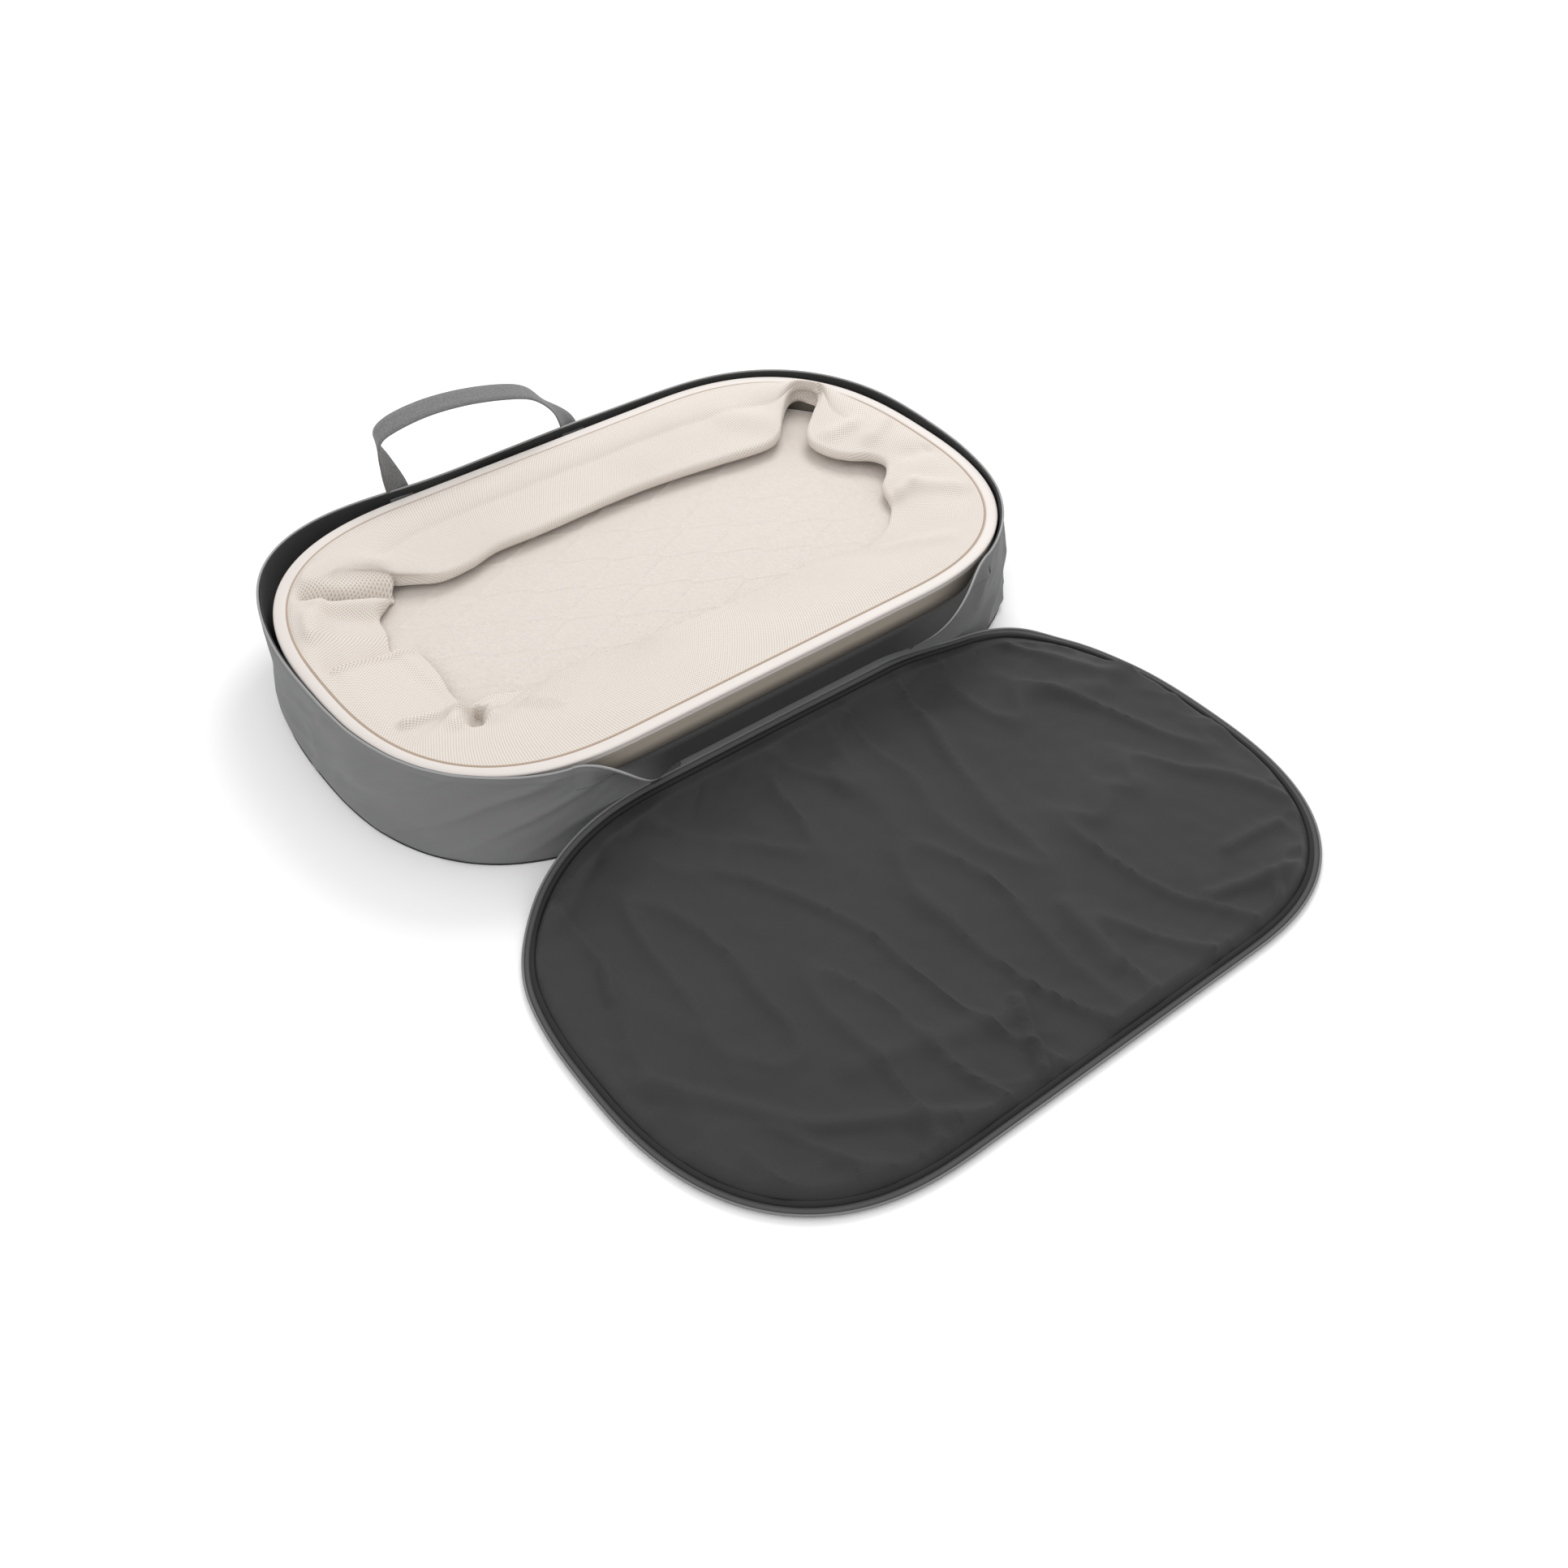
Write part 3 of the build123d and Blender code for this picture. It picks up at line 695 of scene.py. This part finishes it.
# Mesh wall, folded in on the mattress.
meshFold = {  # inner edge, anticlockwise from the middle of the front: x, y and height of the fold
    "edge": [
        (-0.051, -0.110, 0.0845), (0.038, -0.117, 0.0845), (0.107, -0.115, 0.0845), (0.175, -0.116, 0.085),
        (0.231, -0.130, 0.087), (0.268, -0.119, 0.088), (0.298, -0.095, 0.088), (0.311, -0.078, 0.092),
        (0.318, -0.055, 0.098), (0.338, -0.038, 0.102), (0.352, -0.018, 0.104), (0.346, 0.004, 0.104),
        (0.325, 0.024, 0.103), (0.312, 0.046, 0.102), (0.307, 0.075, 0.102), (0.316, 0.098, 0.104),
        (0.345, 0.122, 0.108), (0.374, 0.147, 0.109), (0.384, 0.172, 0.109), (0.364, 0.186, 0.109),
        (0.338, 0.172, 0.108), (0.308, 0.143, 0.106), (0.284, 0.118, 0.103), (0.254, 0.110, 0.101),
        (0.185, 0.119, 0.101), (0.110, 0.128, 0.101), (0.040, 0.131, 0.101), (-0.070, 0.128, 0.101),
        (-0.132, 0.129, 0.101), (-0.173, 0.119, 0.101), (-0.214, 0.118, 0.102), (-0.243, 0.138, 0.103),
        (-0.262, 0.150, 0.103), (-0.268, 0.128, 0.098), (-0.286, 0.118, 0.096), (-0.306, 0.106, 0.090),
        (-0.309, 0.078, 0.088), (-0.317, 0.044, 0.088), (-0.300, 0.022, 0.088), (-0.299, -0.020, 0.088),
        (-0.306, -0.062, 0.089), (-0.302, -0.092, 0.090), (-0.288, -0.104, 0.090), (-0.272, -0.090, 0.088),
        (-0.246, -0.100, 0.085), (-0.222, -0.106, 0.0845), (-0.190, -0.100, 0.0845),
        (-0.150, -0.099, 0.0845), (-0.100, -0.108, 0.0845),
    ],
    "folds": [
        {"from": (-0.377, 0.165), "to": (-0.330, 0.140), "width": 0.009, "height": -0.012},
        {"from": (-0.345, 0.142), "to": (-0.265, 0.131), "width": 0.008, "height": -0.014},
        {"from": (-0.370, 0.198), "to": (-0.262, 0.160), "width": 0.016, "height": 0.008},
        {"from": (-0.365, 0.128), "to": (-0.290, 0.110), "width": 0.013, "height": 0.007},
        {"from": (-0.395, 0.080), "to": (-0.372, 0.120), "width": 0.012, "height": 0.005},
        {"from": (-0.410, 0.018), "to": (-0.300, 0.024), "width": 0.034, "height": -0.009, "step": 0.003},
        {"from": (-0.400, 0.018), "to": (-0.304, 0.024), "width": 0.005, "height": 0.003},
        {"from": (-0.380, -0.104), "to": (-0.292, -0.109), "width": 0.007, "height": 0.006},
        {"from": (-0.255, -0.130), "to": (-0.225, -0.170), "width": 0.008, "height": 0.004},
        {"from": (-0.317, 0.030), "to": (-0.300, -0.090), "width": 0.012, "height": 0.003},
        {"from": (0.345, -0.082), "to": (0.385, -0.150), "width": 0.012, "height": 0.004},
        {"from": (0.316, -0.080), "to": (0.352, -0.078), "width": 0.010, "height": 0.005},
        {"from": (0.220, -0.150), "to": (0.300, -0.205), "width": 0.012, "height": 0.003},
        {"from": (0.356, 0.022), "to": (0.420, 0.045), "width": 0.012, "height": 0.004},
        {"from": (0.372, -0.030), "to": (0.415, -0.045), "width": 0.016, "height": -0.004},
        {"from": (0.320, 0.070), "to": (0.372, 0.060), "width": 0.012, "height": 0.004},
        {"from": (0.290, 0.140), "to": (0.230, 0.190), "width": 0.022, "height": 0.004},
        {"from": (-0.296, -0.108), "to": (-0.314, -0.142), "width": 0.0075, "height": -0.019},
        {"from": (-0.282, -0.112), "to": (-0.296, -0.150), "width": 0.011, "height": 0.005},
        {"from": (-0.314, -0.100), "to": (-0.334, -0.138), "width": 0.011, "height": 0.005},
    ],
    "thickness": 0.0022,
    "gap": 0.70,                  # how far a high fold's underside stands off the mattress
    "crest": 0.0068,              # the far side stands up behind its rim
    "belly": 0.003,               # the cloth bows up between the rim and the fold
    "foldShare": 1.65,            # of the heights above
    "lumps": 0.0020,
    "clear": 0.0014,              # its middle lies this high over the mattress
    "lying": 0.0905,              # a fold's edge lower than this lies on the mattress
    "rows": 40,
    "ceiling": 0.0098,            # highest over the rim, so that the shut lid clears it
}


def closedSpline(points, count):
    points = np.array(points)
    at = np.linspace(0, len(points), count, endpoint=False)
    i, t = at.astype(int), (at % 1)[:, None]
    return curveBetween(*[points[(i + k) % len(points)] for k in (-1, 0, 1, 2)], t)


def meshTurns(edge):  # where on the rim each point of the inner edge is sewn
    turns, tall = allRound(2000), 1.25j
    x, y = around(turns)[:2]
    found = []
    for px, py, high in edge:
        found.append(turns[np.argmin(abs(np.angle((x + tall * y) / (px + tall * py))))])
    found = np.unwrap(np.array(found) * 2 * math.pi) / (2 * math.pi)
    for k in range(1, len(found)):
        found[k] = max(found[k], found[k - 1] + 0.004)
    return found


def meshRows():
    edge = meshFold["edge"]
    count = 620
    inner = closedSpline(edge, count)
    turns = meshTurns(edge)
    at = np.linspace(0, len(edge), count, endpoint=False)
    turn = np.interp(at, range(len(edge) + 1), np.append(turns, turns[0] + 1))
    for step in range(30):  # evens the spacing along the rim
        wrapped = np.concatenate([turn[-6:] - 1, turn, turn[:6] + 1])
        turn = np.convolve(wrapped, np.ones(13) / 13, "valid")
    drop = 0.0016  # below the trim's top
    outer = ringPoints(turn, -rimLook["width"] - 2 * rimLook["cord"], rimHigh[2] - drop)
    inward = inner[:, :2] - outer[:, :2]
    width = np.linalg.norm(inward, axis=1)
    inward = inward / width[:, None]
    base = padHigh[2] + meshFold["clear"]
    under = base + (inner[:, 2] - meshFold["lying"]).clip(0) * meshFold["gap"]
    radius = (inner[:, 2] - under) / 2
    far = smooth((outer[:, 1] - 0.02) / 0.12)
    ceiling, soft = rimHigh[2] + meshFold["ceiling"], 0.0008
    rows, cloth = [], []
    for t in np.linspace(0, 1, meshFold["rows"]):
        reach = (width - radius) * t
        spot = outer[:, :2] + inward * reach[:, None]
        high = outer[:, 2] + (inner[:, 2] - outer[:, 2]) * smooth(t * 0.9) / smooth(0.9)
        calm = smooth(t * 5)
        high = high + calm * meshFold["belly"] * np.sin(math.pi * t)
        high = high + meshFold["crest"] * far * math.sin(math.pi * min(1, t * 2.2)) ** 0.6
        high = high + calm * meshFold["foldShare"] * pleats(spot[:, 0], spot[:, 1], meshFold["folds"])
        high = high + calm * meshFold["lumps"] * lumps(np.column_stack([spot, high]), 0.05, 6.0)
        high = ceiling - soft * np.logaddexp(0, (ceiling - high) / soft)
        rows.append(np.column_stack([spot, np.maximum(high, base)]))
    lip = rows[-1]
    rolled = (lip[:, 2] - under).clip(0.0006) / 2
    for angle in np.linspace(0, math.pi, 10)[1:]:  # round the fold and back beneath
        spot = lip[:, :2] + inward * (rolled * math.sin(angle))[:, None]
        rows.append(np.column_stack([spot, lip[:, 2] - rolled * (1 - math.cos(angle))]))
    last = rows[-1][:, 2]
    for t in (0.25, 0.5, 0.75):
        spot = lip[:, :2] - inward * (width * t * 0.8)[:, None]
        rows.append(np.column_stack([spot, last + (base - last) * t * 0.5]))
    run = np.zeros(count)
    for k, row in enumerate(rows):
        if k:
            run = run + np.linalg.norm(row - rows[k - 1], axis=1)
        cloth += [(t * rimLength, r) for t, r in zip(np.append(turn, turn[0] + 1), np.append(run, run[0]))]
    return [np.vstack([row, row[:1]]) for row in rows], cloth


rows, cloth = meshRows()
meshPiece = thicken(grid("mesh_wall_cloth", rows, cloth=cloth), meshFold["thickness"])
stretching = ("basket", "rim", (0, 0, padHigh[2]), (0, 0, rimHigh[2] - 0.002))
dress(meshPiece, "mesh", "mesh_wall", between=stretching)
print("mesh wall done")


# Mattress: crowned cover with a pressed leaf pattern.
mattress = {
    "crown": 0.0012,
    "sunk": 0.0012,               # the cover's edge lies this far below the plain solid's top
    "cell": 0.105, "rise": 0.0009, "line": 0.0034,  # a leaf's length, and its rib's height and width
    "corner": (0.015, 0.006),     # the rounded edge, as a share of the way in, and its height
}


def pressed(x, y):  # leaf-shaped cells: wavy lines that meet, with their ribs standing up
    u, v = x / mattress["cell"], y / (mattress["cell"] * 0.62)
    wave = 0.25 * np.sin(2 * math.pi * v)
    lines = []
    for side in (1, -1):
        gap = np.mod(u + side * wave + 0.25 * (1 - side), 1.0) - 0.5
        lines.append(np.exp(-(gap * mattress["cell"] / mattress["line"]) ** 2))
    return mattress["rise"] * np.maximum(*lines)


padSize = (padHigh[0] - rimHigh[0], padHigh[2] - padLow[2])  # outside the rim's line, and height


def mattressRows():
    rows, cloth = [], []
    x, y = ringPoints(allRound(560), padSize[0], 0)[:, :2].T
    inset, fall = mattress["corner"]
    section = [(s, 0.0) for s in np.linspace(0.01, 1 - inset, 150)]
    for angle in np.linspace(0, math.pi / 2, 6):
        section.append((1 - inset * (1 - math.sin(angle)), fall * (1 - math.cos(angle))))
    section.append((1.0, padSize[1] - 0.0005))
    for share, drop in section:
        px, py = x * share, y * share
        high = padHigh[2] - mattress["sunk"] - drop + mattress["crown"] * (1 - share ** 2)
        if drop == 0:
            high = high + pressed(px, py)
        rows.append(np.column_stack([px, py, np.zeros(len(px)) + high]))
        cloth += [(a, b) for a, b in zip(px, py)]
    return rows, cloth


rows, cloth = mattressRows()
cover = outward(grid("mattress_top", rows, tube=True, cloth=cloth))
dress(cover, "mattress", "mattress_cover", on="basket")
print("mattress done")


# Handle: one strap that stands up from two sewn feet and twists.
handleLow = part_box("handle_webbing")[0]
handle = {
    "width": 0.031, "thick": 0.0022,
    "standOff": 0.0012,           # from the wall at the sewn feet
    "out": 0.36,                  # how far a turned strap moves off the wall, as a share of its width
    # place along the bag, height, and how far the strap's width has turned towards the ground
    "path": [(-0.180, 0.107, 0.0), (-0.182, 0.122, 0.12), (-0.187, 0.150, 0.45), (-0.191, 0.184, 0.85),
             (-0.172, 0.199, 1.08), (-0.125, 0.2050, 1.12), (-0.071, 0.201, 1.13), (-0.016, 0.189, 1.14),
             (0.020, 0.174, 1.12), (0.046, 0.146, 1.10), (0.064, 0.120, 1.60), (0.067, 0.107, 2.0)],
}


def openSpline(points, count):
    points = np.array(points)
    points = np.vstack([2 * points[0] - points[1], points, 2 * points[-1] - points[-2]])
    at = np.linspace(0, len(points) - 3 - 1e-9, count)
    i, t = at.astype(int), (at % 1)[:, None]
    return curveBetween(*[points[i + k] for k in range(4)], t)


def strap():
    path = openSpline(handle["path"], 160)
    depth = handleLow[1] + handle["standOff"]
    spots = np.column_stack([path[:, 0], np.zeros(len(path)) + depth, path[:, 1]])
    ahead = np.gradient(spots, axis=0)
    ahead /= np.linalg.norm(ahead, axis=1)[:, None]
    flat = np.cross(ahead, [0, -1.0, 0])  # across the strap, in the plane of the wall
    turned = path[:, 2] * math.pi / 2
    across = flat * np.cos(turned)[:, None] + np.array([0, 1.0, 0]) * np.sin(turned)[:, None]
    face = np.cross(ahead, across)
    spots = spots + np.array([0, 1.0, 0]) * (np.sin(turned) * handle["width"] * handle["out"])[:, None]
    ring = [(-0.5, -0.3), (-0.47, 0.5), (-0.25, 0.5), (0.25, 0.5), (0.47, 0.5), (0.5, -0.3), (0.47, -0.5),
            (0.25, -0.5), (-0.25, -0.5), (-0.47, -0.5)]
    rows = [spots + across * (a * handle["width"]) + face * (b * handle["thick"]) for a, b in ring]
    run = np.concatenate([[0], np.cumsum(np.linalg.norm(np.diff(spots, axis=0), axis=1))])
    cloth = [(r, a * handle["width"]) for r in run for a, b in ring]
    return outward(grid("handle_strap", np.transpose(rows, (1, 0, 2)), tube=True, cloth=cloth))


strapPiece = dress(strap(), "webbing", "handle_webbing", on="handle")
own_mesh(strapPiece)
print("handle done")


# Floor, light and camera.
def studio():
    floor = meshObject("floor", [(-9, -9, 0), (9, -9, 0), (9, 9, 0), (-9, 9, 0)], [(0, 1, 2, 3)])
    paper = Finish("paper", {"Specular IOR Level": 0.1})
    floor.data.materials.append(paper.surface(shade(0.97), 0.95 + 0.02 * paper.noise(3.0)))
    world = bpy.data.worlds.new("studio")
    world.use_nodes = True
    world.node_tree.nodes["Background"].inputs["Color"].default_value = (1.0, 1.0, 1.0, 1.0)
    world.node_tree.nodes["Background"].inputs["Strength"].default_value = 0.92
    bpy.context.scene.world = world
    lamps = {"key": ((1.5, 1.0, 2.1), 1.2, 32.0), "fill": ((-2.2, -0.9, 1.9), 2.0, 12.0)}
    for name, (place, size, power) in lamps.items():
        light = bpy.data.lights.new(name, "AREA")
        light.size, light.energy = size, power
        lamp = bpy.data.objects.new(name, light)
        lamp.location = place
        lamp.rotation_euler = (Vector((0, -0.2, 0)) - Vector(place)).to_track_quat("-Z", "Y").to_euler()
        bpy.context.scene.collection.objects.link(lamp)
    view = bpy.context.scene.view_settings
    view.view_transform, view.look, view.exposure = "Standard", "None", 0.0


def camera():
    place, target = Vector((-0.7838, -1.2746, 1.1818)), Vector((-0.0481, -0.3235, 0.0))
    lens = bpy.data.cameras.new("camera")
    lens.sensor_width, lens.lens = 36.0, 35.16
    made = bpy.data.objects.new("camera", lens)
    made.location = place
    made.rotation_euler = (target - place).to_track_quat("-Z", "Y").to_euler()
    bpy.context.scene.collection.objects.link(made)
    bpy.context.scene.camera = made


studio()
camera()
print("studio done")
